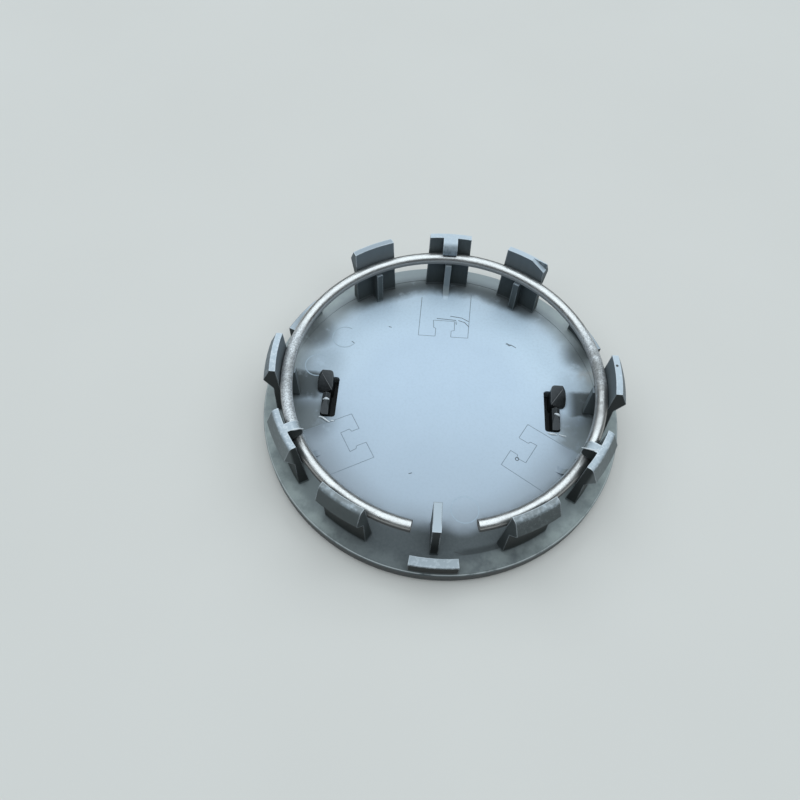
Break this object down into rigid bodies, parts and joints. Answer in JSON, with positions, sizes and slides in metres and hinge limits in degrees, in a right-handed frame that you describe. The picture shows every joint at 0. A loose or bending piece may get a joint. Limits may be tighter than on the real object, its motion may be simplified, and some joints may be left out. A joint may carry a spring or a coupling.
{
  "type": "wheel centre cap",
  "caption": "Round snap-in wheel centre cap lying on its front: moulded plastic disc with barbed snap legs, a sprung wire retaining ring and a black insert clipped into the front.",
  "frame": {"origin": "centre of the cap on the plane of its front face, which it rests on", "axes": "+Z along the cap's axis from the front face towards the wheel; +Y towards the hook leg opposite the key; +X completes a right-handed frame"},
  "size_m": [0.068, 0.068, 0.0171],
  "materials": {
    "grey_plastic": "satin moulded grey plastic, scuffed and dusty",
    "spring_wire": "bare spring steel wire with dulled patches",
    "black_plastic": "glossy black plastic"
  },
  "bodies": {
    "root": {"cap_body": "grey_plastic", "retaining_ring": "spring_wire", "front_insert": "black_plastic"}
  },
  "joints": []
}
